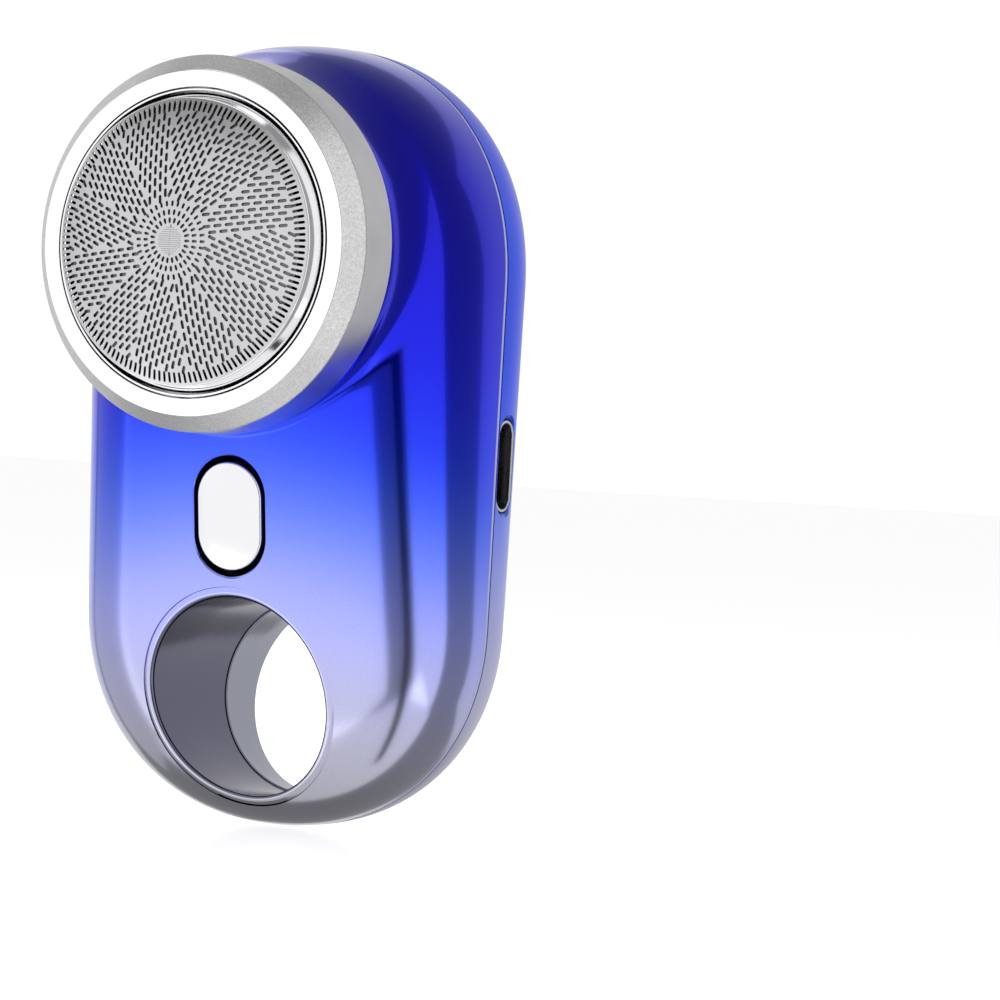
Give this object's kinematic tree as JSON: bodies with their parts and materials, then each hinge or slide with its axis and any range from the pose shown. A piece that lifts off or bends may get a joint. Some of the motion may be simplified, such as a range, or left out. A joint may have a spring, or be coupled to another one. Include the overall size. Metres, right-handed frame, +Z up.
{
  "type": "electric shaver",
  "caption": "Pocket rotary electric shaver: round foil head on a tapered two-shell body with a gradient finish, finger hole, power button, side charging socket and rear display.",
  "frame": {"origin": "centre of the object's box, at the lowest point of the rounded lower end", "axes": "+Z up along the body; the shaving head faces -Y, the display +Y; the charging socket is on the +X side"},
  "size_m": [0.0426, 0.04, 0.076],
  "materials": {
    "shell": "glossy metallic lacquer that fades from near-black navy at the top through royal blue and lavender to silver at the bottom",
    "seam": "pale translucent strip, smooth",
    "sleeve": "dark chrome, polished",
    "display_glass": "black glossy flat window with white lit digits behind it",
    "bright_metal": "bright polished",
    "head_metal": "polished front face, sand-blasted chamfer, satin turned side",
    "foil": "fine domed stainless foil with rows of slots",
    "steel": "plain machined steel",
    "blade": "ground edge",
    "brass": "machined",
    "magnet": "dull dark ferrite",
    "copper": "wound enamelled wire",
    "black_plastic": "moulded, matt",
    "white_plastic": "moulded, matt",
    "seal": "soft, matt",
    "button": "pearl silver, satin polish",
    "board": "green solder mask",
    "battery": "silver laminate pouch",
    "flex": "amber film",
    "red_lead": "insulated",
    "black_lead": "insulated"
  },
  "bodies": {
    "body": {"front_shell": "shell", "rear_shell": "shell", "seam_gasket": "seam", "finger_sleeve_front": "sleeve", "finger_sleeve_rear": "sleeve", "finger_sleeve_band": "sleeve", "display_lens": "display_glass", "display_rim": "bright_metal", "display_panel": "black_plastic", "display_flex": "flex", "motor_can": "steel", "motor_end_cap": "white_plastic", "motor_bush": "brass", "motor_magnet": "magnet", "motor_deck": "black_plastic", "shaft_seal": "seal", "deck_screw_1": "steel", "deck_screw_2": "steel", "deck_screw_3": "steel", "motor_screw_1": "steel", "motor_screw_2": "steel", "board_screw_1": "steel", "board_screw_2": "steel", "button_seal": "seal", "power_switch": "black_plastic", "main_board": "board", "usb_socket": "steel", "usb_tongue": "black_plastic", "battery_cell": "battery", "battery_lead_red": "red_lead", "battery_lead_black": "black_lead", "motor_lead_red": "red_lead", "motor_lead_black": "black_lead"},
    "head": {"head_ring": "head_metal", "foil_bezel": "bright_metal", "shaving_foil": "foil", "foil_retainer": "black_plastic", "head_seal": "seal"},
    "drive": {"motor_shaft": "steel", "motor_rotor": "copper", "drive_coupling": "white_plastic"},
    "cutter": {"cutter_carrier": "black_plastic", "cutter_blade_1": "blade", "cutter_blade_2": "blade", "cutter_blade_3": "blade", "cutter_spring": "steel"},
    "button": {"button_cap": "button", "switch_plunger": "white_plastic"}
  },
  "joints": [
    {"name": "head_release", "type": "slide", "parent": "body", "child": "head", "axis": [0, -1, 0], "range_m": [0, 0.012]},
    {"name": "motor_spin", "type": "hinge", "parent": "body", "child": "drive", "pos_m": [0, -0.00568, 0.0557], "axis": [0, 1, 0], "continuous": true},
    {"name": "cutter_float", "type": "slide", "parent": "drive", "child": "cutter", "axis": [0, 1, 0], "range_m": [0, 0.0008], "stiffness_N_per_m": 400, "springref_m": -0.0015, "deforming": ["cutter_spring"]},
    {"name": "power_press", "type": "slide", "parent": "body", "child": "button", "axis": [0, 0.9907, 0.1361], "range_m": [0, 0.0006], "stiffness_N_per_m": 1000, "springref_m": -0.0005}
  ]
}
